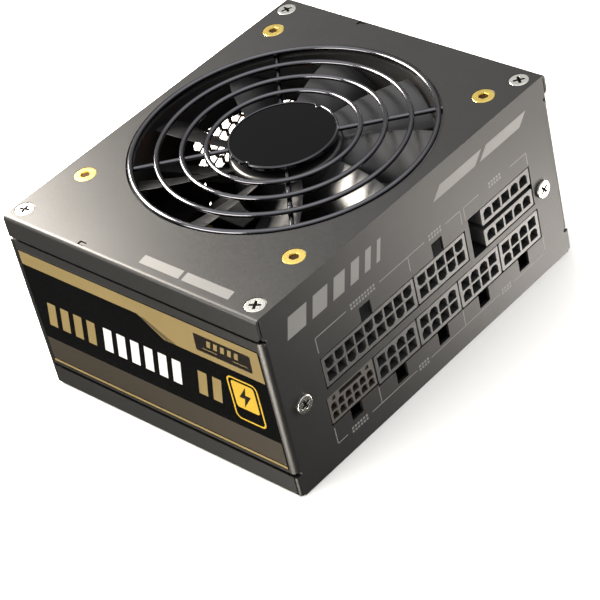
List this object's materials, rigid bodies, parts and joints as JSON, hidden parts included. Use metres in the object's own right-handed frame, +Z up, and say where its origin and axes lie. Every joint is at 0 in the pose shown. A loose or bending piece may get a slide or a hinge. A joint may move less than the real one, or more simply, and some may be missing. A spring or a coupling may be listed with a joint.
{
  "type": "power supply unit",
  "caption": "Compact boxed computer power supply with a guarded top fan, a panel of modular output sockets, and a mains inlet with a rocker switch in a honeycomb wall.",
  "frame": {"origin": "middle of the casing's underside", "axes": "+X along the modular panel, which faces -Y; the mains wall faces +Y; +Z up through the fan"},
  "size_m": [0.1254, 0.1037, 0.0642],
  "materials": {
    "painted_steel": "fine-textured metallic powder coat",
    "plated_steel": "zinc-plated",
    "gold_screw": "yellow-passivated, satin",
    "black_nickel": "black nickel, bright",
    "badge_black": "satin black with a bright rim",
    "fan_plastic": "moulded, matte",
    "rotor_plastic": "moulded, glossy",
    "bronze": "sintered",
    "bare_steel": "bare",
    "ferrite": "sintered, matte",
    "copper": "bare and enamelled copper",
    "circuit_board": "solder mask on glass epoxy",
    "socket_plastic": "moulded nylon",
    "fine_socket_plastic": "moulded heat-resistant nylon",
    "contact_gold": "tin and gold plated",
    "brass": "turned",
    "insulator_film": "film",
    "capacitor_sleeve": "shrink sleeve",
    "aluminium_can": "drawn can",
    "winding_tape": "polyester tape",
    "black_aluminium": "black anodised",
    "epoxy_case": "moulded epoxy",
    "film_box": "moulded box",
    "ceramic_disc": "dipped",
    "relay_case": "moulded",
    "black_nylon": "moulded nylon",
    "wire_jacket": "extruded insulation",
    "side_label_film": "printed film",
    "rating_label_film": "printed film"
  },
  "bodies": {
    "case": {"chassis": "painted_steel", "rear_panel": "painted_steel", "top_cover": "painted_steel", "cover_screws": "plated_steel", "panel_screws": "plated_steel", "board_screws": "plated_steel", "earth_stud": "plated_steel", "fan_screws": "gold_screw", "finger_guard": "black_nickel", "guard_badge": "badge_black", "fan_frame": "fan_plastic", "fan_bearing": "bronze", "stator_core": "bare_steel", "stator_coils": "copper", "fan_motor_board": "circuit_board", "main_socket": "socket_plastic", "aux_socket": "socket_plastic", "drive_sockets": "socket_plastic", "graphics_sockets": "socket_plastic", "processor_sockets": "socket_plastic", "fine_socket": "fine_socket_plastic", "socket_pins": "contact_gold", "modular_board": "circuit_board", "board_posts": "brass", "main_board": "circuit_board", "board_standoffs": "brass", "insulating_sheet": "insulator_film", "output_straps": "copper", "bulk_capacitor": "capacitor_sleeve", "output_capacitors": "aluminium_can", "transformer_core": "ferrite", "transformer_winding": "winding_tape", "ring_choke": "copper", "heatsinks": "black_aluminium", "transistors": "epoxy_case", "bridge_rectifier": "epoxy_case", "line_chokes": "copper", "line_capacitors": "film_box", "disc_capacitors": "ceramic_disc", "fuse": "epoxy_case", "relay": "relay_case", "small_transformers": "winding_tape", "riser_boards": "circuit_board", "converter_chokes": "ferrite", "mains_inlet": "black_nylon", "inlet_pins": "brass", "switch_body": "black_nylon", "switch_terminals": "brass", "mains_leads": "wire_jacket", "fan_lead": "wire_jacket", "fan_plug": "socket_plastic", "side_label": "side_label_film", "rating_label": "rating_label_film"},
    "fan_rotor_body": {"fan_rotor": "rotor_plastic", "fan_shaft": "bare_steel", "rotor_yoke": "bare_steel", "rotor_magnet": "ferrite"},
    "rocker": {"switch_rocker": "black_nylon"},
    "bridge": {"contact_bridge": "brass"}
  },
  "joints": [
    {"name": "fan_spin", "type": "hinge", "parent": "case", "child": "fan_rotor_body", "pos_m": [0.0048, 0.0007, 0.055], "axis": [0, 0, 1], "continuous": true},
    {"name": "power_switch", "type": "hinge", "parent": "case", "child": "rocker", "pos_m": [-0.009, 0.048, 0.022], "axis": [1, 0, 0], "range_deg": [0, 22]},
    {"name": "bridge_tip", "type": "hinge", "parent": "case", "child": "bridge", "pos_m": [-0.009, 0.0404, 0.022], "axis": [1, 0, 0], "range_deg": [-8, 0]}
  ],
  "couplings": [
    {"joint": "bridge_tip", "follows": "power_switch", "ratio": -0.36364}
  ]
}
